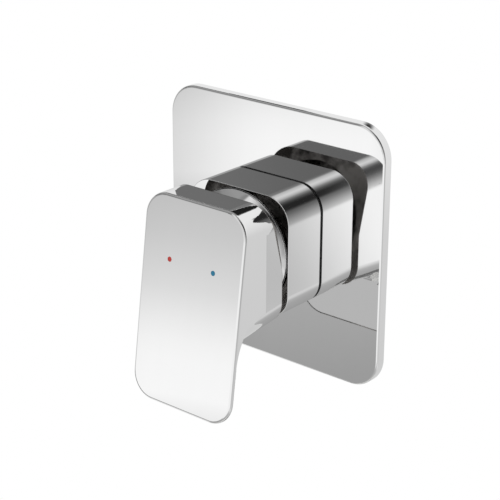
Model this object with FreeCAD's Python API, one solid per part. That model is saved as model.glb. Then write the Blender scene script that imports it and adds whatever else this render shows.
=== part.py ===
import FreeCAD, Part
import math
import os

os.makedirs("parts", exist_ok=True)

# Concealed single-lever shower mixer. Lengths are in millimetres, angles in degrees.
# The valve axis runs along Y through the origin, which lies on the finished wall.
# Heights are measured out of the wall, toward the user, along -Y. Z is up.

# Faceplate
plate_side = 120.0
plate_corner = 14.8
plate_depth = 4.5
plate_wall = 1.6
plate_edge = 1.1
gasket_band = 8.0
gasket_play = 0.4

# Sleeve on the faceplate
sleeve_corner = 12.2
sleeve_length = 22.85
sleeve_wall = 1.0
sleeve_web = 3.0
sleeve_edge = 0.3
seal_thickness = 0.9
seal_inset = 0.4
seal_band = 3.0

# Dome cover on the neck
dome_play = 0.15
dome_proud = 0.52
dome_edge_slope = 45.0
dome_mouth_slope = 10.0
dome_edge_radius = 0.8
dome_skirt = 4.6
dome_wall = 1.6
dome_mouth = 14.0

# Handle
handle_margin = 0.4
handle_rise = 0.9
handle_length = 93.6
handle_corner = 11.4
handle_edge = 1.2
face_tilt = 7.84
neck_gap = 4.4
neck_depth = 26.5
flank_depth = 8.5
flank_knee_depth = 3.4
flank_knee_drop = 27.5
flank_end_drop = 37.0
blade_rim = 1.6
blade_root = 5.0
spine_fade = 60.0
under_tilt = 6.3
flare_radius = 11.0
relief_tilt = 15.4
relief_drop = 2.0
relief_radius = 20.0
pocket_play = 0.8
pocket_floor = 7.3
hub_radius = 7.5
hub_clearance = 5.0
face_wall = 4.5
socket_play = 0.05
screw_boss = 4.6

# Marks on the handle's face
mark_radius = 1.1
mark_depth = 0.5
mark_offset = 12.3
mark_rise = 0.8
mark_play = 0.05

# Screw that clamps the handle, and its cap
screw_radius = 2.45
screw_length = 10.0
screw_play = 0.05
screw_setback = 4.0
screw_key = 1.25
screw_key_depth = 3.0
cap_radius = 3.2
cap_length = 4.5
cap_play = 0.1
cap_sink = 0.3

# Lever and its pin
pivot_depth = 10.35
lever_side = 8.0
lever_arm = 9.0
lever_neck = 2.2
lift_angle = 20.0
tip_radius = 2.8
tip_play = 0.4
tip_bury = 1.4
pin_radius = 1.5
pin_play = 0.05
pin_grip = 0.02
lever_play = 0.3

# Cartridge
cartridge_radius = 17.4
housing_wall = 1.2
housing_top = 2.2
collar_wall = 1.8
collar_step = 1.0
rotor_radius = 11.0
rotor_rise = 4.5
rotor_flange = 3.0
rotor_play = 0.05
rotor_lift = 0.15
tongue_width = 2.6
tongue_depth = 2.5
tongue_half_length = 7.0
guide_play = 0.3
carrier_thickness = 5.6
carrier_inset = 1.5
carrier_flat = 1.0
moving_thickness = 3.5
moving_play = 0.5
mixing_radius = 6.2
mixing_offset = 4.2
mixing_depth = 2.0
fixed_thickness = 4.0
fixed_play = 0.4
base_thickness = 6.0
base_flange = 2.5
base_play = 0.05
key_radius = 1.3
key_height = 2.0
key_offset = 13.0
key_play = 0.1
peg_radius = 1.5
peg_length = 3.0
peg_offset = 12.5
peg_rise = 4.0
peg_play = 0.1
port_radius = 3.2
inlet_port_x = 6.5
inlet_port_z = -6.2
outlet_port_z = 9.5
seal_bore = 3.5
seal_radius = 5.0
seal_play = 0.1
base_seal_depth = 2.0
base_seal_proud = 0.4
disc_seal_depth = 1.6

# Retaining nut
nut_land = 2.1
nut_thread = 4.5
nut_hex_half = 16.0
nut_hex_height = 3.0
nut_relief = 0.5
nut_play = 0.3

# Valve body
cartridge_play = 0.1
thread_play = 0.1
neck_wall = 2.4
neck_play = 0.4
ring_section = 1.0
ring_play = 0.03
barrel_wall = 2.0
barrel_setback = 1.0
inlet_drop = 12.5
boss_radius = 13.5
pipe_radius = 9.3
pipe_depth = 15.0
bridge_half = 5.0
outlet_radius = 7.0
outlet_wall = 1.6
back_wall = 1.0
ear_offset = 30.0
ear_radius = 7.0
ear_thickness = 4.0
ear_hole = 2.6

# Non-return valves in the inlets
check_radius = 7.5
check_play = 0.05
flange_play = 0.1
check_wall = 1.1
check_length = 18.0
check_room = 4.5
check_flange = 1.1
check_flange_thickness = 1.5
check_seat = 4.4
check_seat_depth = 3.0
poppet_radius = 5.6
poppet_thickness = 2.0
stem_radius = 1.3
stem_play = 0.05
spider_hub = 3.0
spider_arm = 0.8
spider_thickness = 2.0
spider_setback = 2.0
stem_proud = 1.0
spring_radius = 2.4
spring_wire = 0.35
spring_turns = 5

# Length by which a cut runs past the face that it opens, and a near miss between edges
overrun = 2.0
near_miss = 0.03

origin = FreeCAD.Vector(0, 0, 0)
outward = FreeCAD.Vector(0, -1, 0)
across = FreeCAD.Vector(1, 0, 0)
upward = FreeCAD.Vector(0, 0, 1)

# Heights out of the wall, from the faceplate to the handle's face
plate_back = plate_depth - plate_wall
sleeve_back = plate_depth + seal_thickness
web_height = sleeve_back + sleeve_web
rim_height = plate_depth + sleeve_length
dome_edge = rim_height + dome_proud
neck_back = rim_height + neck_gap
face_height = neck_back + neck_depth

# Heights down the cartridge, from the lever's pin to the seat in the body
pivot_height = rim_height - pivot_depth
tip_height = pivot_height - lever_arm
carrier_top = tip_height + tip_bury
carrier_low = carrier_top - carrier_thickness
moving_low = carrier_low - moving_thickness
fixed_low = moving_low - fixed_thickness
base_low = fixed_low - base_thickness
seat_height = base_low - base_seal_proud
flange_low = carrier_top + rotor_lift
flange_top = flange_low + rotor_flange
rotor_top = pivot_height + rotor_rise
shoulder_height = flange_top + rotor_lift + housing_top
neck_end = shoulder_height + nut_thread
inlet_height = seat_height - inlet_drop
body_back = inlet_height - boss_radius - back_wall

# Radii and widths that follow from one another, from the cartridge outward to the handle
housing_bore = cartridge_radius - housing_wall
collar_bore = rotor_radius + rotor_play
collar_radius = collar_bore + collar_wall
nut_radius = cartridge_radius + nut_land
neck_radius = nut_radius + thread_play + neck_wall
neck_hole = neck_radius + neck_play
dome_bore = neck_radius + thread_play
dome_radius = dome_bore + dome_skirt
sleeve_side = 2 * (dome_radius + dome_play + sleeve_wall)
handle_width = sleeve_side + 2 * handle_margin
disc_travel = lever_arm * math.radians(lift_angle)
moving_radius = housing_bore - disc_travel - moving_play
carrier_radius = moving_radius - carrier_inset
carrier_half = carrier_radius - carrier_flat
check_bore = check_radius + check_play
boss_reach = bridge_half + check_room + check_length + check_flange_thickness + pipe_depth
ports = (
    (-inlet_port_x, inlet_port_z),
    (inlet_port_x, inlet_port_z),
    (0, outlet_port_z),
)


def at(x, height, z):
    """Point at a height out of the wall."""
    return FreeCAD.Vector(x, -height, z)


def post(radius, low, high, x=0, z=0):
    """Round bar along the valve axis between two heights."""
    return Part.makeCylinder(radius, high - low, at(x, low, z), outward)


def ring(outer, inner, low, high, x=0, z=0):
    """Round tube along the valve axis between two heights."""
    return post(outer, low, high, x, z).cut(post(inner, low - overrun, high + overrun, x, z))


def block(width, depth, low, high, z=0):
    """Bar with a width along X and a depth along Z, between two heights."""
    corner = FreeCAD.Vector(-width / 2, -high, z - depth / 2)
    return Part.makeBox(width, high - low, depth, corner)


def turned(points):
    """Body turned about the valve axis from radius and height pairs."""
    corners = [at(radius, height, 0) for radius, height in points]
    face = Part.Face(Part.makePolygon(corners + corners[:1]))
    return face.revolve(origin, outward, 360)


def rounded_wire(width, top, bottom, corner, height):
    """Rounded rectangle that faces outward at a height."""
    half = width / 2
    inner = half - corner
    diagonal = corner * math.sqrt(0.5)
    edges = []
    for side, end, turn in ((1, top, 1), (1, bottom, -1), (-1, bottom, -1), (-1, top, 1)):
        centre = at(side * inner, height, end - turn * corner)
        flank = centre + across * (side * corner)
        crown = centre + upward * (turn * corner)
        middle = centre + across * (side * diagonal) + upward * (turn * diagonal)
        ends = (crown, flank) if side == turn else (flank, crown)
        if edges:
            edges.append(Part.makeLine(edges[-1].Vertexes[-1].Point, ends[0]))
        edges.append(Part.Arc(ends[0], middle, ends[1]).toShape())
    edges.append(Part.makeLine(edges[-1].Vertexes[-1].Point, edges[0].Vertexes[0].Point))
    return Part.Wire(edges)


def rounded_square(side, corner, low, high):
    """Square bar with rounded corners between two heights."""
    wire = rounded_wire(side, side / 2, -side / 2, corner, low)
    return Part.Face(wire).extrude(outward * (high - low))


def side_prism(edges, width):
    """Outline in the plane of Z and height, carried across a width along X."""
    face = Part.Face(Part.Wire(edges))
    face.translate(across * (-width / 2))
    return face.extrude(across * width)


def side_lines(points):
    """Straight edges through height and Z pairs."""
    corners = [at(0, height, z) for height, z in points]
    return [Part.makeLine(a, b) for a, b in zip(corners, corners[1:])]


def side_arc(start, middle, end):
    """Arc through three height and Z pairs."""
    return Part.Arc(at(0, *start), at(0, *middle), at(0, *end)).toShape()


def tilted(shape):
    """Shape drawn at the wall, laid into the plane of the handle's face."""
    shape.rotate(origin, across, -face_tilt)
    shape.translate(outward * face_height)
    return shape


def face_at(z):
    """Height of the handle's face at a level."""
    return face_height - z * math.tan(math.radians(face_tilt))


def front_edges(shape, height):
    """Edges that lie wholly at a height."""
    level = [edge for edge in shape.Edges if abs(edge.BoundBox.YMin + height) < near_miss]
    return [edge for edge in level if abs(edge.BoundBox.YMax + height) < near_miss]


def rod(radius, start, end, height, z=0):
    """Round bar along X between two places."""
    low = min(start, end)
    return Part.makeCylinder(radius, abs(end - start), at(low, height, z), across)


# Faceplate: pressed plate with a hollow back and a round hole for the neck
plate_blank = rounded_square(plate_side, plate_corner, 0, plate_depth)
plate_blank = plate_blank.makeFillet(plate_edge, front_edges(plate_blank, plate_depth))
hollow_side = plate_side - 2 * plate_wall
hollow_corner = plate_corner - plate_wall
plate_hollow = rounded_square(hollow_side, hollow_corner, -overrun, plate_back)
neck_passage = post(neck_hole, -overrun, plate_depth + overrun)
faceplate = plate_blank.cut(plate_hollow).cut(neck_passage)

# Foam ring in the faceplate's hollow, level with its rim
gasket_side = hollow_side - 2 * gasket_play
gasket_corner = hollow_corner - gasket_play
gasket_outer = rounded_square(gasket_side, gasket_corner, 0, plate_back)
gasket_inner = rounded_square(
    gasket_side - 2 * gasket_band, gasket_corner - gasket_band, -overrun, plate_back + overrun
)
wall_gasket = gasket_outer.cut(gasket_inner)

# Rubber ring round the neck, under the faceplate
ring_orbit = neck_radius + ring_section + ring_play
neck_o_ring = Part.makeTorus(
    ring_orbit, ring_section, at(0, plate_back - ring_section - ring_play, 0), outward
)

# Sleeve: square outside and bored round for the dome, with a web that slips over the neck
sleeve_blank = rounded_square(sleeve_side, sleeve_corner, sleeve_back, rim_height)
sleeve_bore = post(dome_radius + dome_play, web_height, rim_height + overrun)
sleeve = sleeve_blank.cut(sleeve_bore).cut(post(neck_hole, 0, rim_height))
sleeve = sleeve.makeFillet(sleeve_edge, front_edges(sleeve, rim_height))

# Dark seal between the sleeve and the faceplate
seal_side = sleeve_side - 2 * seal_inset
seal_corner = sleeve_corner - seal_inset
seal_outer = rounded_square(seal_side, seal_corner, plate_depth, sleeve_back)
seal_inner = rounded_square(
    seal_side - 2 * seal_band, seal_corner - seal_band, plate_depth - overrun, sleeve_back + overrun
)
sleeve_seal = seal_outer.cut(seal_inner)

# Dome cover: screwed on the neck, it clamps the sleeve's web to the faceplate
dome_slopes = [math.radians(slope) for slope in (dome_edge_slope, dome_mouth_slope)]
crown_radius = (dome_radius - dome_mouth) / (math.sin(dome_slopes[0]) - math.sin(dome_slopes[1]))
crown_centre = dome_radius - crown_radius * math.sin(dome_slopes[0])
crown_low = dome_edge - crown_radius * math.cos(dome_slopes[0])
dome_top = crown_low + crown_radius * math.cos(dome_slopes[1])
dome_turn = sum(dome_slopes) / 2
dome_mid = crown_centre + crown_radius * math.sin(dome_turn)
dome_crown = crown_low + crown_radius * math.cos(dome_turn)
dome_profile = [
    Part.makeLine(at(dome_bore, web_height, 0), at(dome_radius, web_height, 0)),
    Part.makeLine(at(dome_radius, web_height, 0), at(dome_radius, dome_edge, 0)),
    Part.Arc(
        at(dome_radius, dome_edge, 0), at(dome_mid, dome_crown, 0), at(dome_mouth, dome_top, 0)
    ).toShape(),
    Part.makeLine(at(dome_mouth, dome_top, 0), at(dome_mouth, dome_top - dome_wall, 0)),
    Part.makeLine(at(dome_mouth, dome_top - dome_wall, 0), at(dome_bore, dome_edge - dome_wall, 0)),
    Part.makeLine(at(dome_bore, dome_edge - dome_wall, 0), at(dome_bore, web_height, 0)),
]
dome_cover = Part.Face(Part.Wire(dome_profile)).revolve(origin, outward, 360)
dome_rims = [edge for edge in front_edges(dome_cover, dome_edge) if edge.Closed]
dome_cover = dome_cover.makeFillet(dome_edge_radius, dome_rims)

# Handle envelope: the face's outline drawn straight back to the end of the neck
handle_half = handle_width / 2
handle_top = sleeve_side / 2 + handle_rise
handle_low = handle_top - handle_length
face_wire = tilted(rounded_wire(handle_width, handle_top, handle_low, handle_corner, 0))
envelope = Part.Face(face_wire).extrude(outward * -(neck_depth + handle_length))
front_face = max(envelope.Faces, key=lambda face: -face.CenterOfMass.y)
envelope = envelope.makeFillet(handle_edge, front_face.OuterWire.Edges)

# Back of the slab seen from the side: flank, sweep under the neck, thin rim of the blade
flat_low = handle_corner - handle_half
flank_height = face_height - flank_depth
clear_top = handle_length
clear_height = face_at(handle_low) + overrun
rim_end = (face_at(-flank_end_drop) - blade_rim, -flank_end_drop)
rim_low = (face_at(-clear_top) - blade_rim, -clear_top)
knee = (face_at(-flank_knee_drop) - flank_knee_depth, -flank_knee_drop)
slab_sides = side_lines(((flank_height, clear_top), (flank_height, flat_low)))
slab_sides.append(side_arc((flank_height, flat_low), knee, rim_end))
slab_sides += side_lines(
    (
        rim_end,
        rim_low,
        (clear_height + clear_top, -clear_top),
        (clear_height + clear_top, clear_top),
        (flank_height, clear_top),
    )
)
slab = side_prism(slab_sides, handle_width + 2 * overrun)

# Handle core: square neck whose sloping underside flares into the spine of the blade
under = -handle_half
slope = math.radians(under_tilt)
fade_slope = (blade_root - blade_rim) / spine_fade
tilt = math.atan(math.tan(math.radians(face_tilt)) + fade_slope)
spine_height = face_height - blade_root
to_under = flare_radius + under * -math.cos(slope) - neck_back * math.sin(slope)
to_spine = flare_radius - spine_height * math.cos(tilt)
spread = math.sin(slope) * math.sin(tilt) - math.cos(slope) * math.cos(tilt)
flare_height = (-to_under * math.sin(tilt) + to_spine * math.cos(slope)) / spread
flare_z = (-to_spine * math.sin(slope) + to_under * math.cos(tilt)) / spread
middle_turn = (math.pi / 2 - slope + tilt) / 2
flare_start, flare_middle, flare_end = [
    (flare_height + flare_radius * math.cos(turn), flare_z + flare_radius * math.sin(turn))
    for turn in (math.pi / 2 - slope, middle_turn, tilt)
]
spine_low = (
    flare_end[0] + clear_top * math.tan(tilt),
    flare_end[1] - clear_top,
)
core_sides = side_lines(((neck_back, sleeve_side), (neck_back, under), flare_start))
core_sides.append(side_arc(flare_start, flare_middle, flare_end))
core_sides += side_lines(
    (
        flare_end,
        spine_low,
        (spine_low[0] + clear_top, spine_low[1]),
        (spine_low[0] + clear_top, sleeve_side),
        (neck_back, sleeve_side),
    )
)
core = side_prism(core_sides, handle_width)
under_edges = []
for edge in core.Edges:
    middle = edge.valueAt((edge.FirstParameter + edge.LastParameter) / 2)
    on_flank = abs(abs(middle.x) - handle_half) < near_miss
    straight = edge.BoundBox.XLength < near_miss
    on_under = middle.z < under + near_miss and -middle.y < flare_end[0] + clear_top / 2
    if on_flank and straight and on_under and middle.z > spine_low[1] + near_miss:
        under_edges.append(edge)
core = core.makeFillet(handle_corner, under_edges)
handle_blank = envelope.common(slab.fuse(core)).removeSplitter()

# Relief behind the top of the neck, so that the handle can tip toward the wall
relief_turn = math.radians(relief_tilt)
relief_start = -relief_drop - relief_radius * math.tan(relief_turn / 2)
relief_arc = [
    (
        neck_back + relief_radius * (1 - math.cos(turn)),
        relief_start + relief_radius * math.sin(turn),
    )
    for turn in (0, relief_turn / 2, relief_turn)
]
relief_rise = (clear_top + relief_drop) * math.tan(relief_turn)
relief_sides = [side_arc(*relief_arc)]
relief_sides += side_lines(
    (
        relief_arc[-1],
        (neck_back + relief_rise, clear_top),
        (neck_back - overrun, clear_top),
        (neck_back - overrun, relief_start),
        relief_arc[0],
    )
)
relief = side_prism(relief_sides, handle_width + 2 * overrun)
handle_blank = handle_blank.cut(relief)

# Hollow of the handle: a round pocket that clears the dome as the handle tips, with a hub in it
dome_reach = math.hypot(dome_radius, dome_edge - pivot_height) + pocket_play
pocket_radius = math.sqrt(dome_reach**2 - (neck_back - pivot_height) ** 2)
pocket_end = face_height - pocket_floor
pocket = post(pocket_radius, neck_back - overrun, pocket_end)
hub_low = dome_top + hub_clearance
socket_end = face_height - face_wall
hub = post(hub_radius, hub_low, socket_end)
socket_side = lever_side + 2 * socket_play
socket = block(socket_side, socket_side, hub_low - overrun, socket_end)

# Screw hole from the underside of the neck into the socket, its boss, and the cap's seat
screw_height = socket_end - screw_setback
screw_top = -lever_side / 2
screw_low = screw_top - screw_length
under_low = under - (screw_height - cap_radius - neck_back) * math.tan(slope)
cap_low = under_low + cap_sink
cap_top = cap_low + cap_length
boss_low = under + flare_radius / 2
boss = block(
    2 * screw_boss,
    screw_top - boss_low,
    screw_height - screw_boss,
    pocket_end + overrun,
    (screw_top + boss_low) / 2,
)
screw_hole = Part.makeCylinder(
    screw_radius + screw_play, screw_top - cap_top, at(0, screw_height, cap_top), upward
)
cap_hole = Part.makeCylinder(
    cap_radius + cap_play, clear_top, at(0, screw_height, cap_top - clear_top), upward
)
handle = handle_blank.cut(pocket).fuse(hub).fuse(boss).cut(socket)
handle = handle.cut(screw_hole).cut(cap_hole)

# Marks: small round inlays in the handle's face
marks = {}
for name, side in (("hot_mark", -1), ("cold_mark", 1)):
    recess = tilted(post(mark_radius + mark_play, -mark_depth, overrun, side * mark_offset, mark_rise))
    handle = handle.cut(recess)
    marks[name] = tilted(post(mark_radius, -mark_depth, 0, side * mark_offset, mark_rise))
handle = handle.removeSplitter()

# Screw with a hexagon socket, and the cap over it
grub_screw = Part.makeCylinder(screw_radius, screw_length, at(0, screw_height, screw_low), upward)
key_corners = []
for corner in range(7):
    angle = math.radians(60 * corner)
    key_corners.append(
        at(screw_key * math.cos(angle), screw_height + screw_key * math.sin(angle), screw_low)
    )
key_socket = Part.Face(Part.makePolygon(key_corners)).extrude(upward * screw_key_depth)
grub_screw = grub_screw.cut(key_socket)
screw_cap = Part.makeCylinder(cap_radius, cap_length, at(0, screw_height, cap_low), upward)

# Lever: square shank, round knuckle on the pin, thin neck and ball below
lever_top = socket_end - lever_play
lever_spindle = block(lever_side, lever_side, pivot_height, lever_top)
lever_spindle = lever_spindle.fuse(
    rod(lever_side / 2, -lever_side / 2, lever_side / 2, pivot_height)
)
lever_spindle = lever_spindle.fuse(post(lever_neck, tip_height, pivot_height))
lever_spindle = lever_spindle.fuse(Part.makeSphere(tip_radius, at(0, tip_height, 0)))
pin_half = rotor_radius - rotor_play
lever_spindle = lever_spindle.cut(rod(pin_radius + pin_play, -pin_half, pin_half, pivot_height))
lever_pin = rod(pin_radius, -pin_half, pin_half, pivot_height)

# Rotor: round core with a flange, a slot for the lever and two tongues for the carrier
lift = math.radians(lift_angle)
slot_upper = lever_side / 2 / math.cos(lift) + rotor_rise * math.tan(lift)
slot_lower = lever_neck / math.cos(lift) + (pivot_height - flange_low) * math.tan(lift)
slot_half = max(slot_upper, slot_lower) + lever_play
flange_radius = housing_bore - fixed_play
rotor = post(rotor_radius, flange_low, rotor_top)
rotor = rotor.fuse(post(flange_radius, flange_low, flange_top))
tongue_near = carrier_half + guide_play
for side in (-1, 1):
    tongue = block(
        tongue_width, 2 * tongue_half_length, flange_low - tongue_depth, flange_low
    )
    tongue.translate(across * (side * (tongue_near + tongue_width / 2)))
    rotor = rotor.fuse(tongue)
slot_width = lever_side + 2 * lever_play
rotor = rotor.cut(block(slot_width, 2 * slot_half, flange_low - overrun, rotor_top + overrun))
rotor = rotor.cut(rod(pin_radius + pin_grip, -rotor_radius, rotor_radius, pivot_height))

# Cartridge housing: plastic cup with a collar round the rotor
cartridge_housing = turned(
    (
        (housing_bore, base_low + base_flange),
        (cartridge_radius, base_low + base_flange),
        (cartridge_radius, shoulder_height),
        (collar_radius, shoulder_height),
        (collar_radius, rotor_top - collar_step),
        (collar_bore, rotor_top - collar_step),
        (collar_bore, flange_top + rotor_lift),
        (housing_bore, flange_top + rotor_lift),
    )
)

# Disc carrier: block with two flats, and a socket for the lever's ball
disc_carrier = post(carrier_radius, carrier_low, carrier_top)
disc_carrier = disc_carrier.common(
    block(2 * carrier_half, 2 * carrier_radius, carrier_low, carrier_top)
)
disc_carrier = disc_carrier.cut(
    post(tip_radius + tip_play, tip_height - tip_radius - tip_play, carrier_top + overrun)
)

# Ceramic discs: the moving one has a mixing hollow, the fixed one has three ports
moving_disc = post(moving_radius, moving_low, carrier_low)
mixing_hollow = post(mixing_radius, moving_low - overrun, moving_low + mixing_depth, 0, mixing_offset)
moving_disc = moving_disc.cut(mixing_hollow)
fixed_disc = post(housing_bore - fixed_play, fixed_low, moving_low)
for x, z in ports:
    fixed_disc = fixed_disc.cut(post(port_radius, fixed_low - overrun, moving_low + overrun, x, z))

# Cartridge base: three ports with seats for their seals, keys for the disc, pegs for the body
cartridge_base = post(cartridge_radius, base_low, base_low + base_flange)
cartridge_base = cartridge_base.fuse(post(housing_bore - base_play, base_low, fixed_low))
seal_seat = seal_radius + seal_play
base_rings = []
disc_rings = []
for x, z in ports:
    cartridge_base = cartridge_base.cut(post(port_radius, base_low - overrun, fixed_low + overrun, x, z))
    lower_seat = post(seal_seat, base_low - overrun, base_low + base_seal_depth, x, z)
    upper_seat = post(seal_seat, fixed_low - disc_seal_depth, fixed_low + overrun, x, z)
    cartridge_base = cartridge_base.cut(lower_seat).cut(upper_seat)
    base_rings.append(ring(seal_radius, seal_bore, seat_height, base_low + base_seal_depth, x, z))
    disc_rings.append(ring(seal_radius, seal_bore, fixed_low - disc_seal_depth, fixed_low, x, z))
for side in (-1, 1):
    key = post(key_radius, fixed_low, fixed_low + key_height, side * key_offset, 0)
    key_seat = post(
        key_radius + key_play, fixed_low - overrun, fixed_low + key_height + key_play, side * key_offset, 0
    )
    peg = post(peg_radius, base_low - peg_length, base_low, side * peg_offset, peg_rise)
    cartridge_base = cartridge_base.fuse(key).fuse(peg)
    fixed_disc = fixed_disc.cut(key_seat)
base_seals = Part.makeCompound(base_rings)
disc_seals = Part.makeCompound(disc_rings)

# Retaining nut: threaded ring with a hexagon head, on the housing's shoulder
nut_top = neck_end + nut_hex_height
hex_corners = []
for corner in range(7):
    angle = math.radians(60 * corner)
    reach = nut_hex_half / math.cos(math.radians(30))
    hex_corners.append(at(reach * math.cos(angle), neck_end, reach * math.sin(angle)))
hex_head = Part.Face(Part.makePolygon(hex_corners)).extrude(outward * nut_hex_height)
retaining_nut = post(nut_radius, shoulder_height, neck_end).fuse(hex_head)
nut_bore = collar_radius + nut_play
retaining_nut = retaining_nut.cut(post(nut_bore, shoulder_height - overrun, nut_top + overrun))

# Valve body: barrel and neck, bosses for hot, cold and outlet, four ears
valve_body = post(neck_radius, body_back, neck_end)
valve_body = valve_body.fuse(post(neck_radius + barrel_wall, body_back, -barrel_setback))
valve_body = valve_body.fuse(rod(boss_radius, -boss_reach, boss_reach, inlet_height))
valve_body = valve_body.fuse(
    Part.makeCylinder(boss_radius, boss_reach, at(0, inlet_height, 0), upward)
)
ear_reach = math.hypot(ear_offset, ear_offset)
ear_front = body_back + ear_thickness
for corner in range(4):
    ear = block(ear_reach, 2 * ear_radius, body_back, ear_front)
    ear.translate(across * (ear_reach / 2))
    ear = ear.fuse(post(ear_radius, body_back, ear_front, ear_reach, 0))
    ear = ear.cut(post(ear_hole, body_back - overrun, ear_front + overrun, ear_reach, 0))
    ear.rotate(origin, outward, 45 + 90 * corner)
    valve_body = valve_body.fuse(ear)
valve_body = valve_body.cut(post(cartridge_radius + cartridge_play, seat_height, neck_end + overrun))
valve_body = valve_body.cut(
    post(nut_radius + thread_play, shoulder_height - nut_relief, neck_end + overrun)
)
for x, z in ports:
    valve_body = valve_body.cut(post(port_radius, inlet_height, seat_height + overrun, x, z))
pipe_end = boss_reach - pipe_depth
flange_end = pipe_end - check_flange_thickness
flange_bore = check_radius + check_flange + flange_play
for side in (-1, 1):
    valve_body = valve_body.cut(
        rod(pipe_radius, side * pipe_end, side * (boss_reach + overrun), inlet_height)
    )
    valve_body = valve_body.cut(rod(check_bore, side * bridge_half, side * pipe_end, inlet_height))
    flange_seat = rod(flange_bore, side * flange_end, side * pipe_end, inlet_height)
    valve_body = valve_body.cut(flange_seat)
    peg_end = base_low - peg_length - peg_play
    peg_hole = post(
        peg_radius + peg_play, peg_end, seat_height + overrun, side * peg_offset, peg_rise
    )
    valve_body = valve_body.cut(peg_hole)
outlet_low = check_bore + outlet_wall
valve_body = valve_body.cut(
    Part.makeCylinder(pipe_radius, pipe_depth + overrun, at(0, inlet_height, pipe_end), upward)
)
valve_body = valve_body.cut(
    Part.makeCylinder(outlet_radius, pipe_end - outlet_low, at(0, inlet_height, outlet_low), upward)
)
valve_body = valve_body.removeSplitter()


def check_housing():
    """Tube with a flange, a seat at its mouth and a spider at its inner end, mouth at X zero."""
    seat_end = check_seat_depth
    spider_low = check_length - spider_setback - spider_thickness
    spider_high = spider_low + spider_thickness
    shell = rod(check_radius, 0, check_length, 0)
    shell = shell.fuse(rod(check_radius + check_flange, -check_flange_thickness, 0, 0))
    inside = rod(check_radius - check_wall, seat_end, check_length + overrun, 0)
    mouth = rod(check_seat, -check_flange_thickness - overrun, check_length, 0)
    shell = shell.cut(inside).cut(mouth)
    spider = rod(spider_hub, spider_low, spider_high, 0)
    for arm in range(3):
        spoke = Part.makeBox(
            spider_thickness, 2 * spider_arm, check_radius - check_wall / 2, at(spider_low, spider_arm, 0)
        )
        spoke.rotate(origin, across, 120 * arm)
        spider = spider.fuse(spoke)
    spider = spider.cut(rod(stem_radius + stem_play, 0, check_length, 0))
    return shell.fuse(spider)


def check_poppet():
    """Disc on the seat, with a stem through the spider."""
    disc_end = check_seat_depth + poppet_thickness
    disc = rod(poppet_radius, check_seat_depth, disc_end, 0)
    return disc.fuse(rod(stem_radius, disc_end, check_length - spider_setback + stem_proud, 0))


def check_spring():
    """Coil round the stem, between the disc and the spider."""
    low = check_seat_depth + poppet_thickness + spring_wire
    high = check_length - spider_setback - spider_thickness - spring_wire
    helix = Part.makeHelix((high - low) / spring_turns, high - low, spring_radius)
    start = FreeCAD.Vector(spring_radius, 0, 0)
    wire = Part.Wire(Part.makeCircle(spring_wire, start, FreeCAD.Vector(0, 1, 0)))
    coil = Part.Wire(helix.Edges).makePipeShell([wire], True, True)
    coil.rotate(origin, FreeCAD.Vector(0, 1, 0), 90)
    coil.translate(across * low)
    return coil


# Non-return valves: the hot one on the left is the cold one turned about Z
checks = {}
for name, turn in (("hot", 0), ("cold", 180)):
    for piece, shape in (
        ("housing", check_housing()),
        ("poppet", check_poppet()),
        ("spring", check_spring()),
    ):
        shape.translate(across * -flange_end)
        shape.rotate(origin, upward, turn)
        shape.translate(outward * inlet_height)
        checks[name + "_check_" + piece] = shape

nodes = {
    "faceplate": faceplate,
    "wall_gasket": wall_gasket,
    "neck_o_ring": neck_o_ring,
    "sleeve": sleeve,
    "sleeve_seal": sleeve_seal,
    "dome_cover": dome_cover,
    "handle": handle,
    "grub_screw": grub_screw,
    "screw_cap": screw_cap,
    "lever_spindle": lever_spindle,
    "lever_pin": lever_pin,
    "rotor": rotor,
    "cartridge_housing": cartridge_housing,
    "disc_carrier": disc_carrier,
    "moving_disc": moving_disc,
    "fixed_disc": fixed_disc,
    "disc_seals": disc_seals,
    "cartridge_base": cartridge_base,
    "base_seals": base_seals,
    "retaining_nut": retaining_nut,
    "valve_body": valve_body,
}
nodes.update(marks)
nodes.update(checks)
for name, shape in nodes.items():
    shape.exportStep("parts/" + name + ".step")
    print(name, len(shape.Solids), shape.isValid(), round(shape.Volume))
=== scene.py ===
import math

import bpy
import numpy as np
from mathutils import Matrix, Vector


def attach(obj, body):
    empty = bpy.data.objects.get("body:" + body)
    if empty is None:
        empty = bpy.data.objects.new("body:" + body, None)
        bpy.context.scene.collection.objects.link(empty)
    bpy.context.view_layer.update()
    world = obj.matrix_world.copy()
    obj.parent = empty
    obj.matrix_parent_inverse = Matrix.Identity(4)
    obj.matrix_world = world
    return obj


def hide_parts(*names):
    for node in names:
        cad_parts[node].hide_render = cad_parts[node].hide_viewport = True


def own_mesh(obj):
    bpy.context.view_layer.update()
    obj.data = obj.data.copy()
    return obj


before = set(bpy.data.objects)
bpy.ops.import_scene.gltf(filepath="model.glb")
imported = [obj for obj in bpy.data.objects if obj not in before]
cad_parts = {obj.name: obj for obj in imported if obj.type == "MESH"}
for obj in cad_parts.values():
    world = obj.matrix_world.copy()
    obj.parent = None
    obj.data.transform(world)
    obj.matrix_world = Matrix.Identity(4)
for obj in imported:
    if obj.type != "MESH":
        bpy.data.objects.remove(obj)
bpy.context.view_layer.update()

# Valve body: a brass casting in the wall that carries the cartridge, the inlets and the outlet.
# Sand-cast outside, it is faced bright on the ends of its bosses, and its pipe bores are tapped.
mm = 0.001
boss_end = 43.9
tapped_from = 29.0
bore_level = 22.6
bore_radius = 9.5
thread_pitch = 1.814
thread_depth = 0.35
sand_grain = 0.7
sand_relief = 0.05
stain_size = 9.0


def linear(colour):
    """sRGB hex to linear: a channel c is c / 12.92 up to 0.04045, and ((c + 0.055) / 1.055) ^ 2.4 above."""
    channels = [int(colour[i:i + 2], 16) / 255 for i in (1, 3, 5)]
    return [c / 12.92 if c <= 0.04045 else ((c + 0.055) / 1.055) ** 2.4 for c in channels] + [1.0]


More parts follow.
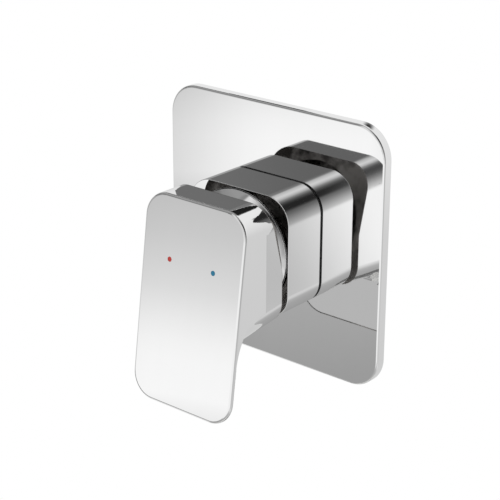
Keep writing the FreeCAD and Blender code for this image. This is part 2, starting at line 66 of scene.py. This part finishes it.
def add(tree, kind, inputs=(), out=0, stops=(), **settings):
    """Adds a node with its settings and links and returns one of its outputs. An input takes a value, or a link
    where it is given a socket; stops are the (place, hex colour) pairs of a colour ramp."""
    node = tree.nodes.new("ShaderNode" + kind)
    for name, value in settings.items():
        setattr(node, name, value)
    for name, value in dict(inputs).items():
        if isinstance(value, bpy.types.NodeSocket):
            tree.links.new(value, node.inputs[name])
        else:
            node.inputs[name].default_value = value
    for i, (position, colour) in enumerate(stops):
        element = node.color_ramp.elements[i] if i < 2 else node.color_ramp.elements.new(position)
        element.position = position
        element.color = linear(colour)
    return node.outputs[out] if node.outputs else None


def new_material(name):
    """Empty material; returns it with its tree and the coordinates of the piece that wears it."""
    material = bpy.data.materials.new(name)
    material.use_nodes = True
    material.node_tree.nodes.clear()
    return material, material.node_tree, add(material.node_tree, "TexCoord", out="Object")


def cast_brass():
    """Cast brass: dull yellow and sandy from the mould, bright where it is faced past the bosses' ends. In the pipe
    bores a thread is cut: its height is the sine of the way along the bore over the pitch. Along a bore the greater
    of |x| and |z| runs on, and the lesser one and the depth give the distance from the bore's axis."""
    material, tree, place = new_material("cast_brass")
    sand = add(tree, "TexNoise", {"Vector": place, "Scale": 1 / (sand_grain * mm), "Detail": 4.0})
    stain = add(tree, "TexNoise", {"Vector": place, "Scale": 1 / (stain_size * mm), "Detail": 3.0})
    raw = add(tree, "ValToRGB", {"Fac": stain}, stops=((0.3, "#94733B"), (0.7, "#BF9A52")))
    axes = add(tree, "SeparateXYZ", {"Vector": place}).node.outputs
    x, z = [add(tree, "Math", {0: axes[name]}, operation="ABSOLUTE") for name in "XZ"]
    along = add(tree, "Math", {0: x, 1: z}, operation="MAXIMUM")
    aside = add(tree, "Math", {0: x, 1: z}, operation="MINIMUM")
    depth = add(tree, "Math", {0: axes["Y"], 1: bore_level * mm}, operation="SUBTRACT")
    spread = add(tree, "CombineXYZ", {"X": aside, "Y": depth})
    across = add(tree, "VectorMath", {0: spread}, "Value", operation="LENGTH")
    faced = add(tree, "Math", {0: along, 1: boss_end * mm}, operation="GREATER_THAN")
    bored = add(tree, "Math", {0: across, 1: bore_radius * mm}, operation="LESS_THAN")
    tapped = add(tree, "Math", {0: along, 1: tapped_from * mm}, operation="GREATER_THAN")
    tapped = add(tree, "Math", {0: tapped, 1: bored}, operation="MULTIPLY")
    turned = add(tree, "Math", {0: faced, 1: tapped}, operation="MAXIMUM")
    colour = add(tree, "Mix", {0: turned, 6: raw, 7: linear("#CDA95C")}, 2, data_type="RGBA")
    roughness = add(tree, "MapRange", {"Value": sand, "To Min": 0.34, "To Max": 0.52})
    roughness = add(tree, "Mix", {0: turned, 2: roughness, 3: 0.2})
    grain = add(tree, "Bump", {"Height": sand, "Distance": sand_relief * mm})
    turns = add(tree, "Math", {0: along, 1: 2 * math.pi / (thread_pitch * mm)}, operation="MULTIPLY")
    thread = add(tree, "Math", {0: turns}, operation="SINE")
    thread = add(tree, "Math", {0: thread, 1: tapped}, operation="MULTIPLY")
    normal = add(tree, "Bump", {"Height": thread, "Distance": thread_depth * mm, "Normal": grain})
    shader = add(tree, "BsdfPrincipled", {
        "Base Color": colour, "Roughness": roughness, "Metallic": 1.0, "Normal": normal,
    })
    add(tree, "OutputMaterial", {"Surface": shader})
    return material


def dress(material, slot, *names):
    """Gives CAD nodes a finish in place of their plain one."""
    for name in names:
        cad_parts[name].material_slots[0].material = material


dress(cast_brass(), "brass", "valve_body", "retaining_nut")

# Non-return valves: a moulded housing, poppet and steel coil pushed into each inlet.
# Acetal mouldings keep a faint satin skin from the mould; the coil is wound from bright drawn wire
# and stands between the poppet and the housing's spider.
coil_radius = 2.4
coil_wire = 0.35
coil_turns = 5
coil_seat = 22.5
coil_stop = 13.5
steps_per_turn = 40
wire_spokes = 12
mould_grain = 0.35
mould_relief = 0.006
mould_drift = 14.0
satin_spread = 0.06
draw_lines = 0.25
draw_relief = 0.003
draw_stretch = 0.06


def moulded(name, colour, shade, roughness):
    """Moulded plastic: one colour with a faint drift, and a satin skin of fine mould grain."""
    material, tree, place = new_material(name)
    grain = add(tree, "TexNoise", {"Vector": place, "Scale": 1 / (mould_grain * mm), "Detail": 3.0})
    drift = add(tree, "TexNoise", {"Vector": place, "Scale": 1 / (mould_drift * mm), "Detail": 2.0})
    shader = add(tree, "BsdfPrincipled", {
        "Base Color": add(tree, "ValToRGB", {"Fac": drift}, stops=((0.3, shade), (0.7, colour))),
        "Roughness": add(tree, "MapRange", {
            "Value": grain, "To Min": roughness - satin_spread, "To Max": roughness + satin_spread,
        }),
        "Normal": add(tree, "Bump", {"Height": grain, "Distance": mould_relief * mm}),
        "IOR": 1.48,
    })
    add(tree, "OutputMaterial", {"Surface": shader})
    return material


def drawn_steel():
    """Bright drawn stainless steel: fine lines along the bar, drawn out by the die."""
    material, tree, place = new_material("drawn_stainless_steel")
    stretched = add(tree, "Mapping", {"Vector": place, "Scale": (1, draw_stretch, 1)})
    lines = add(tree, "TexNoise", {"Vector": stretched, "Scale": 1 / (draw_lines * mm), "Detail": 2.0})
    shader = add(tree, "BsdfPrincipled", {
        "Base Color": add(tree, "ValToRGB", {"Fac": lines}, stops=((0.3, "#B4B6B8"), (0.7, "#D2D4D6"))),
        "Roughness": add(tree, "MapRange", {"Value": lines, "To Min": 0.18, "To Max": 0.32}),
        "Normal": add(tree, "Bump", {"Height": lines, "Distance": draw_relief * mm}),
        "Metallic": 1.0,
    })
    add(tree, "OutputMaterial", {"Surface": shader})
    return material


def wound_coil(name, side, material):
    """Wire along a helix: at the share s of the length its centre lies on the coil's radius at the angle 2 pi s times
    the turns, and a circle of the wire's radius stands square to the helix there. The cold side is the hot side
    turned half way round Z. The ends are closed with flat faces."""
    steps = steps_per_turn * coil_turns + 1
    spokes = np.arange(wire_spokes) * 2 * math.pi / wire_spokes
    share, spoke = np.meshgrid(np.linspace(0, 1, steps), spokes, indexing="ij")
    angle = 2 * math.pi * coil_turns * share
    length = coil_seat - coil_stop - 2 * coil_wire
    out = np.stack([np.zeros_like(angle), np.cos(angle), np.sin(angle)], -1)
    round_axis = np.stack([np.zeros_like(angle), -np.sin(angle), np.cos(angle)], -1)
    way = 2 * math.pi * coil_turns * coil_radius * round_axis + (length, 0, 0)
    way = way / np.linalg.norm(way, axis=-1, keepdims=True)
    points = coil_radius * out + share[..., None] * (length, 0, 0) + (coil_wire - coil_seat, 0, 0)
    points = points + coil_wire * (np.cos(spoke)[..., None] * out + np.sin(spoke)[..., None] * np.cross(way, out))
    points = (points * (side, side, 1) + (0, bore_level, 0)) * mm
    ring = np.arange(wire_spokes)
    first = np.arange(steps - 1)[:, None] * wire_spokes
    near, far = first + ring, first + (ring + 1) % wire_spokes
    faces = np.stack([near, far, far + wire_spokes, near + wire_spokes], -1).reshape(-1, 4).tolist()
    faces += [ring[::-1].tolist(), (ring + (steps - 1) * wire_spokes).tolist()]
    mesh = bpy.data.meshes.new(name)
    mesh.from_pydata(points.reshape(-1, 3).tolist(), [], faces)
    mesh.polygons.foreach_set("use_smooth", [len(face) == 4 for face in faces])
    mesh.materials.append(material)
    coil = bpy.data.objects.new(name, mesh)
    bpy.context.scene.collection.objects.link(coil)
    return coil


steel = drawn_steel()
acetal = moulded("moulded_acetal", "#E9E9EC", "#DCDCE1", 0.38)
for water, side in (("hot", 1), ("cold", -1)):
    dress(acetal, "check_plastic", water + "_check_housing", water + "_check_poppet")
    coil = wound_coil(water + "_check_coil", side, steel)
    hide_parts(water + "_check_spring")
    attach(coil, "valve")
    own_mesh(coil)

# Cartridge: moulded nylon shell, base and rotor round two lapped ceramic discs, with rubber seals.
# The steel lever swings on a pin in the rotor, and its ball end slides the upper disc.
pore_size = 0.3
bloom_size = 1.2
bloom_relief = 0.01


def lapped_ceramic():
    """Lapped alumina: ivory white, nearly polished, with a fine scatter of pores."""
    material, tree, place = new_material("lapped_alumina")
    pores = add(tree, "TexNoise", {"Vector": place, "Scale": 1 / (pore_size * mm), "Detail": 4.0})
    shader = add(tree, "BsdfPrincipled", {
        "Base Color": add(tree, "ValToRGB", {"Fac": pores}, stops=((0.25, "#DDD8CB"), (0.45, "#EFECE3"))),
        "Roughness": add(tree, "MapRange", {"Value": pores, "To Min": 0.12, "To Max": 0.22}),
        "IOR": 1.76,
    })
    add(tree, "OutputMaterial", {"Surface": shader})
    return material


def moulded_rubber():
    """Black seal rubber: matt, with a faint bloom."""
    material, tree, place = new_material("moulded_rubber")
    bloom = add(tree, "TexNoise", {"Vector": place, "Scale": 1 / (bloom_size * mm), "Detail": 4.0})
    shader = add(tree, "BsdfPrincipled", {
        "Base Color": add(tree, "ValToRGB", {"Fac": bloom}, stops=((0.3, "#0C0C0D"), (0.7, "#18181A"))),
        "Roughness": add(tree, "MapRange", {"Value": bloom, "To Min": 0.5, "To Max": 0.68}),
        "Normal": add(tree, "Bump", {"Height": bloom, "Distance": bloom_relief * mm}),
    })
    add(tree, "OutputMaterial", {"Surface": shader})
    return material


white_nylon = moulded("moulded_nylon_white", "#E3E2DB", "#D6D4CC", 0.42)
grey_nylon = moulded("moulded_nylon_grey", "#62656A", "#55585D", 0.45)
rubber = moulded_rubber()
dress(white_nylon, "white_plastic", "cartridge_housing", "cartridge_base")
dress(grey_nylon, "grey_plastic", "rotor", "disc_carrier")
dress(steel, "steel", "lever_spindle", "lever_pin")
dress(lapped_ceramic(), "ceramic", "fixed_disc", "moving_disc")
dress(rubber, "black_rubber", "disc_seals", "base_seals")

# Faceplate: a pressed square plate with rounded corners, lying on the wall on a ring of foam.
# Its front is polished and chromed like a mirror; the hollow behind it keeps the dull skin of the plating.
plate_half = 60.0
plate_corner = 14.8
plate_wall = 1.6
plate_back = 2.9
mask_slack = 0.06
plate_skin = ("#8A8884", "#94928D")
wave_size = 16.0
wave_relief = 0.0015
wipe_size = 5.0
wipe_stretch = 0.25
blotch_size = 7.0
foam_cell = 0.7
foam_relief = 0.12


def from_centres(tree, place, across, up):
    """Distance from the rectangle of an outline's corner centres: the length of max(|x| - across, 0) and
    max(|z| - up, 0), which is the corners' radius all along the outline."""
    spread = add(tree, "VectorMath", {0: place}, operation="ABSOLUTE")
    spread = add(tree, "VectorMath", {0: spread, 1: (across * mm, 1.0, up * mm)}, operation="SUBTRACT")
    spread = add(tree, "VectorMath", {0: spread, 1: (0, 0, 0)}, operation="MAXIMUM")
    return add(tree, "VectorMath", {0: spread}, "Value", operation="LENGTH")


def plate_hollow(tree, place):
    """One inside the plate's rim and behind its front wall: there the distance from the square of corner centres is
    less than the corner's inner radius."""
    spread = from_centres(tree, place, plate_half - plate_corner, plate_half - plate_corner)
    inner = (plate_corner - plate_wall + mask_slack) * mm
    within = add(tree, "Math", {0: spread, 1: inner}, operation="LESS_THAN")
    depth = add(tree, "SeparateXYZ", {"Vector": place}, "Y")
    behind = add(tree, "Math", {0: depth, 1: -(plate_back + mask_slack) * mm}, operation="GREATER_THAN")
    return add(tree, "Math", {0: within, 1: behind}, operation="MULTIPLY")


def chromed(name, hollow=None, skin=(), drift=0.0):
    """Bright chrome over polish: a mirror with a trace of waviness and of wiping. In a hollow, where no wheel
    reaches, the plating keeps the dull blotched skin of the metal under it. Painted light lightens that skin by the
    drift for each millimetre to the right."""
    material, tree, place = new_material(name)
    wave = add(tree, "TexNoise", {"Vector": place, "Scale": 1 / (wave_size * mm), "Detail": 1.0})
    streaks = add(tree, "Mapping", {"Vector": place, "Scale": (1, 1, wipe_stretch)})
    wipe = add(tree, "TexNoise", {"Vector": streaks, "Scale": 1 / (wipe_size * mm), "Detail": 3.0})
    colour = add(tree, "ValToRGB", {"Fac": wipe}, stops=((0.2, "#EFEFEF"), (0.8, "#F0F0F0")))
    roughness = add(tree, "MapRange", {"Value": wipe, "To Min": 0.02, "To Max": 0.03})
    if hollow:
        raw = hollow(tree, place)
        blotch_and_painted_light = add(tree, "TexNoise", {"Vector": place, "Scale": 1 / (blotch_size * mm), "Detail": 4.0})
        # Painted light: the drift for each millimetre to the right shifts the blotch, so the dull skin lightens to
        # the right.
        aside = add(tree, "SeparateXYZ", {"Vector": place}, "X")
        blotch_and_painted_light = add(tree, "Math", {0: aside, 1: drift / mm, 2: blotch_and_painted_light}, operation="MULTIPLY_ADD")
        dull = add(tree, "ValToRGB", {"Fac": blotch_and_painted_light}, stops=((0.3, skin[0]), (0.7, skin[1])))
        colour = add(tree, "Mix", {0: raw, 6: colour, 7: dull}, 2, data_type="RGBA")
        roughness = add(tree, "Mix", {0: raw, 2: roughness, 3: 0.5})
    shader = add(tree, "BsdfPrincipled", {
        "Base Color": colour, "Roughness": roughness, "Metallic": 1.0,
        "Normal": add(tree, "Bump", {"Height": wave, "Distance": wave_relief * mm}),
    })
    add(tree, "OutputMaterial", {"Surface": shader})
    return material


def cell_foam():
    """Closed-cell foam: dark grey, with small round cells cut open at the faces."""
    material, tree, place = new_material("closed_cell_foam")
    cells = add(tree, "TexVoronoi", {"Vector": place, "Scale": 1 / (foam_cell * mm)})
    shader = add(tree, "BsdfPrincipled", {
        "Base Color": add(tree, "ValToRGB", {"Fac": cells}, stops=((0.1, "#232427"), (0.6, "#3A3C40"))),
        "Normal": add(tree, "Bump", {"Height": cells, "Distance": foam_relief * mm}),
        "Roughness": 0.85,
    })
    add(tree, "OutputMaterial", {"Surface": shader})
    return material


dress(chromed("chromed_brass_plate", plate_hollow, plate_skin), "chrome", "faceplate")
dress(cell_foam(), "foam", "wall_gasket")
dress(rubber, "black_rubber", "neck_o_ring", "sleeve_seal")

# Sleeve and dome cover: turned and milled from brass, polished and chromed all over.
# The sleeve slips over the neck, and the dome screws on to the neck and holds it.
chrome = chromed("polished_chrome")
dress(chrome, "chrome", "sleeve", "dome_cover")

# Handle: one zinc casting, polished and chromed outside. The back of its neck and the round pocket there keep the
# dull skin of the casting, with painted light that lightens it to the right. A dull band along the paddle's back rim
# is painted shade, in place of the dark line a rounded rim would show. A grub screw clamps it to the lever from
# below, and a small cap hides the screw.
neck_back = 31.75
back_slope = math.tan(math.radians(15.4))
back_knee = 2.0
back_slack = 0.25
pocket_radius = 25.7
pocket_end = 50.95
face_height = 58.25
face_tilt = math.radians(7.84)
face_half = (28.25, 46.8)
face_centre = -18.05
face_corner = 11.4
paddle_top = -37.0
paddle_rim = 1.6
# A dull band along the paddle's back rim is painted shade: the dark line a rounded rim would show.
rim_shade_width = 0.6
rim_shade_slack = 0.12
# The casting's dull skin runs from dark to light, and painted light lightens it by the drift for each millimetre to
# the right.
casting_skin_and_painted_light = ("#343230", "#A09D9A")
painted_light_drift = 0.009


def painted_rim_shade(tree, place):
    """One on the back of the paddle within a width of its rim: a dull band of painted shade, in place of the dark
    line a rounded rim would show. The outline is taken in the plane of the face, whose depth below a place is the
    face's height less z times its slope, plus y."""
    axes = add(tree, "SeparateXYZ", {"Vector": place}).node.outputs
    level = add(tree, "Math", {0: axes["Z"], 1: -math.tan(face_tilt), 2: axes["Y"]}, operation="MULTIPLY_ADD")
    low = -(face_height - paddle_rim + rim_shade_slack) * mm
    back = add(tree, "Math", {0: level, 1: low}, operation="GREATER_THAN")
    paddle = add(tree, "Math", {0: axes["Z"], 1: paddle_top * mm}, operation="LESS_THAN")
    laid = add(tree, "Mapping", {
        "Vector": place, "Location": (0, 0, -face_centre * mm), "Scale": (1, 1, 1 / math.cos(face_tilt)),
    })
    spread = from_centres(tree, laid, *[half - face_corner for half in face_half])
    rim = add(tree, "Math", {0: spread, 1: (face_corner - rim_shade_width) * mm}, operation="GREATER_THAN")
    rim = add(tree, "Math", {0: rim, 1: paddle}, operation="MULTIPLY")
    return add(tree, "Math", {0: rim, 1: back}, operation="MULTIPLY")


def handle_hollow(tree, place):
    """One on the band of painted rim shade, on the back of the neck, which is flat below and slopes away from the
    wall above its knee, and in the pocket, where the distance from the axis is less than its radius and the height
    less than that of its floor."""
    axes = add(tree, "SeparateXYZ", {"Vector": place}).node.outputs
    rise = add(tree, "Math", {0: axes["Z"], 1: back_slope, 2: back_knee * mm * back_slope}, operation="MULTIPLY_ADD")
    rise = add(tree, "Math", {0: rise, 1: 0.0}, operation="MAXIMUM")
    level = add(tree, "Math", {0: axes["Y"], 1: rise}, operation="ADD")
    back = add(tree, "Math", {0: level, 1: -(neck_back + back_slack) * mm}, operation="GREATER_THAN")
    flat = add(tree, "VectorMath", {0: place, 1: (1, 0, 1)}, operation="MULTIPLY")
    across = add(tree, "VectorMath", {0: flat}, "Value", operation="LENGTH")
    within = add(tree, "Math", {0: across, 1: (pocket_radius + mask_slack) * mm}, operation="LESS_THAN")
    inner = add(tree, "Math", {0: axes["Y"], 1: -(pocket_end + mask_slack) * mm}, operation="GREATER_THAN")
    pocket = add(tree, "Math", {0: within, 1: inner}, operation="MULTIPLY")
    raw = add(tree, "Math", {0: back, 1: pocket}, operation="MAXIMUM")
    return add(tree, "Math", {0: raw, 1: painted_rim_shade(tree, place)}, operation="MAXIMUM")


dress(chromed("chromed_zinc_casting", handle_hollow, casting_skin_and_painted_light, painted_light_drift), "chrome", "handle")
dress(steel, "steel", "grub_screw")
dress(chrome, "cap_chrome", "screw_cap")

# Marks: two round enamel inlays in the handle's face, red for hot and blue for cold.
# Fired enamel is smooth and glossy, with the faintest unevenness.
enamel_drift = 0.8


def enamel(name, colour, shade):
    """Glossy enamel with a slight drift of its colour."""
    material, tree, place = new_material(name)
    drift = add(tree, "TexNoise", {"Vector": place, "Scale": 1 / (enamel_drift * mm), "Detail": 2.0})
    shader = add(tree, "BsdfPrincipled", {
        "Base Color": add(tree, "ValToRGB", {"Fac": drift}, stops=((0.3, shade), (0.7, colour))),
        "Roughness": add(tree, "MapRange", {"Value": drift, "To Min": 0.18, "To Max": 0.28}),
    })
    add(tree, "OutputMaterial", {"Surface": shader})
    return material


dress(enamel("red_enamel", "#C83C32", "#BC322B"), "red_enamel", "hot_mark")
dress(enamel("blue_enamel", "#0E7EA2", "#0B7294"), "blue_enamel", "cold_mark")

# Wall and floor: a pale wall that the mixer is set in, seen from the room only, and a pale floor.
# The mixer hangs at the usual height for a hand, so the floor lies far below.
wall_half = 1.6
wall_setback = 0.3 * mm
floor_half = 3.2
floor_level = -1.05
wall_span = 100 * mm
# Painted light on the wall as mirrors see it: a grey that rises with height, and a painted shade beside the plate's
# upper right corner.
painted_wall_light = ((0.0, "#CCCCCC"), (0.2, "#D8D8D8"), (0.56, "#DBDBDB"), (0.85, "#F6F6F6"))
corner_shade = (48.6 * mm, wall_setback, 61.9 * mm)
shade_core = 0.8 * mm
shade_reach = 4.4 * mm
shade_depth = 0.06


def sheet_mesh(name, corners, material):
    """One flat face through four corners."""
    mesh = bpy.data.meshes.new(name)
    mesh.from_pydata(corners, [], [(0, 1, 2, 3)])
    mesh.materials.append(material)
    sheet = bpy.data.objects.new(name, mesh)
    bpy.context.scene.collection.objects.link(sheet)
    return sheet


def white_to_eye(tree):
    """One for a ray from the camera, a mirror or a clear body, and zero for a ray of scattered light."""
    path = add(tree, "LightPath").node.outputs
    shown = add(tree, "Math", {0: path["Is Camera Ray"], 1: path["Is Glossy Ray"]}, operation="MAXIMUM")
    return add(tree, "Math", {0: shown, 1: path["Is Transmission Ray"]}, operation="MAXIMUM")


def emulsion(name, colour, one_sided):
    """Matt emulsion. The wall's is pure white to the camera. In a mirror it shows painted light: a grey that goes by
    the height, with a soft painted shade by the distance from a place beside the plate's corner, and from behind it
    is nothing at all."""
    material, tree, place = new_material(name)
    surface = add(tree, "BsdfPrincipled", {"Base Color": linear(colour), "Roughness": 0.9})
    if one_sided:
        # Painted light: the wall's grey in mirrors goes by the height and dips into a painted shade near the plate's
        # corner.
        height = add(tree, "SeparateXYZ", {"Vector": place}, "Z")
        height = add(tree, "MapRange", {"Value": height, "From Min": -wall_span, "From Max": wall_span})
        level = add(tree, "ValToRGB", {"Fac": height}, stops=painted_wall_light)
        aside = add(tree, "VectorMath", {0: place, 1: corner_shade}, "Value", operation="DISTANCE")
        shade = add(tree, "MapRange", {
            "Value": aside, "From Min": shade_core, "From Max": shade_reach, "To Min": shade_depth,
        }, interpolation_type="SMOOTHSTEP")
        level = add(tree, "Math", {0: level, 1: shade}, operation="MULTIPLY")
        camera_ray = add(tree, "LightPath", out="Is Camera Ray")
        level = add(tree, "Math", {0: level, 1: camera_ray}, operation="MAXIMUM")
        white = add(tree, "Emission", {"Strength": level})
        surface = add(tree, "MixShader", {"Fac": white_to_eye(tree), 1: surface, 2: white})
        behind = add(tree, "NewGeometry", out="Backfacing")
        surface = add(tree, "MixShader", {"Fac": behind, 1: surface, 2: add(tree, "BsdfTransparent")})
    add(tree, "OutputMaterial", {"Surface": surface})
    return material


sheet_mesh("wall", [
    (-wall_half, wall_setback, floor_level),
    (wall_half, wall_setback, floor_level),
    (wall_half, wall_setback, wall_half),
    (-wall_half, wall_setback, wall_half),
], emulsion("wall_emulsion", "#F2F2F1", True))
sheet_mesh("floor", [
    (-floor_half, -floor_half, floor_level),
    (floor_half, -floor_half, floor_level),
    (floor_half, floor_half, floor_level),
    (-floor_half, floor_half, floor_level),
], emulsion("floor_paint", "#EDEDEB", False))

# Studio: a paper tent round the mixer, two soft lamps, and black and grey felt laid on the wall.
# The papers' greys give the chrome its shading. Mirrors alone see the tent and the felts, so the lamps
# shine through. Angles are in degrees: azimuth to the right of the mixer's front, and elevation.
tent_radius = 1.2
tent_rows, tent_columns = 171, 241
tent_end = 85
left_papers = (
    (-60, "#969696"), (-40, "#A2A2A2"), (-29, "#A0A0A0"), (-24, "#AEAEAE"), (-20, "#DEDEDE"), (-17, "#FFFFFF"),
    (-14.5, "#FDFDFD"), (-13, "#F3F3F3"), (-11, "#E1E1E1"), (-8, "#D0D0D0"), (-5, "#C4C4C4"), (6, "#BEBEBE"),
    (10, "#A8A8A8"), (13, "#727272"), (16.5, "#747474"), (22, "#757575"), (27, "#8C8C8C"), (40, "#989898"),
)
left_edge = (-33, -27)
lower_fade, lower_level, lower_loss = (39, 47), 1.07, 0.3
upper_fade, upper_level, upper_gain = (36, 43), 0.86, 0.22
upper_edge = (6, 12)
ring_papers = (
    (-135, "#A4A4A4"), (-100, "#B0B0B0"), (-70, "#B8B8B8"), (-55, "#C4C4C4"), (-44, "#E8E8E8"), (-36, "#FFFFFF"),
    (-24, "#FFFFFF"), (-11, "#E1E1E1"), (13, "#B2B2B2"), (27, "#8E8E8E"), (42, "#686868"), (52, "#585858"),
    (62, "#505050"), (70, "#585858"), (76, "#666666"), (86, "#949494"), (91, "#B8B8B8"), (98, "#D8D8D8"),
    (106, "#EAEAEA"), (122, "#D0D0D0"), (135, "#AAAAAA"), (146, "#868686"), (155, "#747474"),
)
glow_turn, glow_gain = ((-46, -34), (-26, -12)), 0.18
dusk_turn, dusk_edge, dusk_loss = ((-46, -33), (65, 90)), (38.5, 46), 0.45
flag_turn, flag_edges, flag_grey = ((34, 48), (60, 74)), ((39.5, 42.5), (48, 60)), "#2A2A2A"
disc_papers = ((-38, "#C8C8C8"), (-26, "#FFFFFF"), (-10, "#FFFFFF"), (8, "#D6D6D6"), (38, "#F6F6F6"))
disc_edge = (34, 36.5)
top_edge, top_grey = (54, 64), "#A0A0A0"
foot_edge, foot_side, foot_grey = (55, 62), (-50, 0), "#848484"
card_side, card_edges, card_grey = (44, 56), ((36, 44), (55, 60)), "#F4F4F4"


def smooth(value, low, high):
    """0 below the low end, 1 above the high end, and 3 t^2 - 2 t^3 of the share t between them."""
    t = np.clip((value - low) / (high - low), 0, 1)
    return t * t * (3 - 2 * t)


def band(value, rise, fall):
    """Rises smoothly from 0 to 1 between the first two ends, and falls back between the last two."""
    return smooth(value, *rise) * (1 - smooth(value, *fall))


def paper(angle, stops):
    """Brightness at an angle, straight between (degrees, hex) stops."""
    return np.interp(angle, [s[0] for s in stops], [linear(s[1])[0] for s in stops])


def over(tone, colour, share):
    """A tone with a share of another paper's brightness laid over it: tone + (brightness - tone) share."""
    return tone + (linear(colour)[0] - tone) * share


def tent_tones(azimuth, elevation):
    """A left panel graded by elevation, which fades to the left, and elsewhere greys by the turn round the mixer's
    axis, the arctangent of the upward part over the rightward part. The angle off the axis, whose cosine is
    cos(azimuth) cos(elevation), is where the right side darkens, where a black flag begins and where a pale disc in
    front ends. A grey top, a grey foot and a white card low on the left lie over these by azimuth and elevation."""
    lower = lower_level - lower_loss * smooth(-azimuth, *lower_fade)
    upper = upper_level + upper_gain * smooth(-azimuth, *upper_fade)
    left = paper(elevation, left_papers) * (lower + (upper - lower) * smooth(elevation, *upper_edge))
    up, right = np.sin(np.radians(elevation)), np.sin(np.radians(azimuth)) * np.cos(np.radians(elevation))
    turn = np.degrees(np.arctan2(up, right))
    forward = np.cos(np.radians(azimuth)) * np.cos(np.radians(elevation))
    off_axis = np.degrees(np.arccos(np.clip(forward, -1, 1)))
    ring = paper(turn, ring_papers) * (1 + glow_gain * band(turn, *glow_turn))
    ring = ring * (1 - dusk_loss * smooth(off_axis, *dusk_edge) * band(turn, *dusk_turn))
    ring = over(ring, flag_grey, band(turn, *flag_turn) * band(off_axis, *flag_edges))
    beside = smooth(azimuth, *left_edge)
    tone = left + (ring - left) * beside
    tone = tone + (paper(elevation, disc_papers) - tone) * (1 - smooth(off_axis, *disc_edge)) * beside
    tone = over(tone, top_grey, smooth(elevation, *top_edge))
    tone = over(tone, foot_grey, smooth(-elevation, *foot_edge) * (1 - smooth(azimuth, *foot_side)))
    return over(tone, card_grey, smooth(-azimuth, *card_side) * band(-elevation, *card_edges))


def for_mirrors(piece):
    """Leaves a piece to mirrors alone: the camera, scattered light and shadows pass it by."""
    piece.visible_camera = piece.visible_diffuse = piece.visible_shadow = False


azimuth, elevation = np.meshgrid(
    np.linspace(-180, 180, tent_columns), np.linspace(-tent_end, tent_end, tent_rows),
)
across, rise = np.radians(azimuth), np.radians(elevation)
places = np.stack([np.sin(across) * np.cos(rise), -np.cos(across) * np.cos(rise), np.sin(rise)], -1)
first = (np.arange(tent_rows - 1)[:, None] * tent_columns + np.arange(tent_columns - 1)).ravel()
faces = np.stack([first, first + 1, first + tent_columns + 1, first + tent_columns], -1)
tones = tent_tones(azimuth, elevation).astype(np.float32).ravel()
mesh = bpy.data.meshes.new("tent")
mesh.from_pydata((tent_radius * places).reshape(-1, 3).tolist(), [], faces.tolist())
mesh.attributes.new("tone", "FLOAT", "POINT").data.foreach_set("value", tones)
material, tree = new_material("tent_paper")[:2]
tone = add(tree, "Attribute", out="Fac", attribute_name="tone")
add(tree, "OutputMaterial", {"Surface": add(tree, "Emission", {"Strength": tone})})
mesh.materials.append(material)
tent = bpy.data.objects.new("tent", mesh)
bpy.context.scene.collection.objects.link(tent)
for_mirrors(tent)

black = emulsion("black_felt", "#0A0A0A", False)
grey = emulsion("grey_felt", "#868686", False)
for name, felt, front, (left, low_right, high_right), (low, high) in (
    ("black_felt", black, -0.2, (-30, 14, 10), (63, 100)),
    ("upper_felt", grey, -0.1, (-700, 16, 12), (66, 700)),
    ("lower_felt", grey, -0.1, (-14, 60, 60), (-280, -138)),
):
    corners = [(left, front, low), (low_right, front, low), (high_right, front, high), (left, front, high)]
    for_mirrors(sheet_mesh(name, [[c * mm for c in corner] for corner in corners], felt))

world = bpy.data.worlds.new("studio")
world.use_nodes = True
bpy.context.scene.world = world
tree = world.node_tree
tree.nodes.clear()
level = add(tree, "MapRange", {"Value": white_to_eye(tree), "To Min": 0.6, "To Max": 1.0})
backdrop = add(tree, "Background", {"Color": linear("#FFFFFF"), "Strength": level})
add(tree, "OutputWorld", {"Surface": backdrop})


def soft_lamp(name, place, side, power):
    """Square soft lamp that faces the mixer; mirrors show the papers and not the lamp."""
    data = bpy.data.lights.new(name, "AREA")
    data.size = side
    data.energy = power
    lamp = bpy.data.objects.new(name, data)
    lamp.matrix_world = Matrix.Translation(place) @ Vector(place).to_track_quat("Z", "Y").to_matrix().to_4x4()
    lamp.visible_glossy = False
    lamp.visible_camera = False
    bpy.context.scene.collection.objects.link(lamp)


soft_lamp("key_lamp", place=(-0.9, -1.3, 1.3), side=1.0, power=14.0)
soft_lamp("fill_lamp", place=(1.3, 1.1, 0.8), side=1.2, power=8.0)

# Camera: stands to the right of the mixer and above it, at the photograph's distance and focal length.
# Light may bounce often enough to reach the bottom of the narrow gaps between mirrors.
view_azimuth = 39.98
view_elevation = 21.43
view_roll = 0.2
view_distance = 686.4 * mm
view_target = Vector((-12.57, -4.5, -11.09)) * mm
view_focal = 1510.0
photo_side = 500
turn = Matrix.Rotation(math.radians(view_azimuth), 4, "Z")
turn = turn @ Matrix.Rotation(math.radians(90 - view_elevation), 4, "X")
turn = turn @ Matrix.Rotation(math.radians(view_roll), 4, "Z")
camera_data = bpy.data.cameras.new("camera")
camera_data.lens = camera_data.sensor_width * view_focal / photo_side
camera_data.clip_start = 0.05
camera = bpy.data.objects.new("camera", camera_data)
camera.matrix_world = Matrix.Translation(view_target) @ turn @ Matrix.Translation((0, 0, view_distance))
bpy.context.scene.collection.objects.link(camera)
bpy.context.scene.camera = camera
bpy.context.scene.view_settings.view_transform = "Standard"
bpy.context.scene.cycles.max_bounces = 24
bpy.context.scene.cycles.glossy_bounces = 20
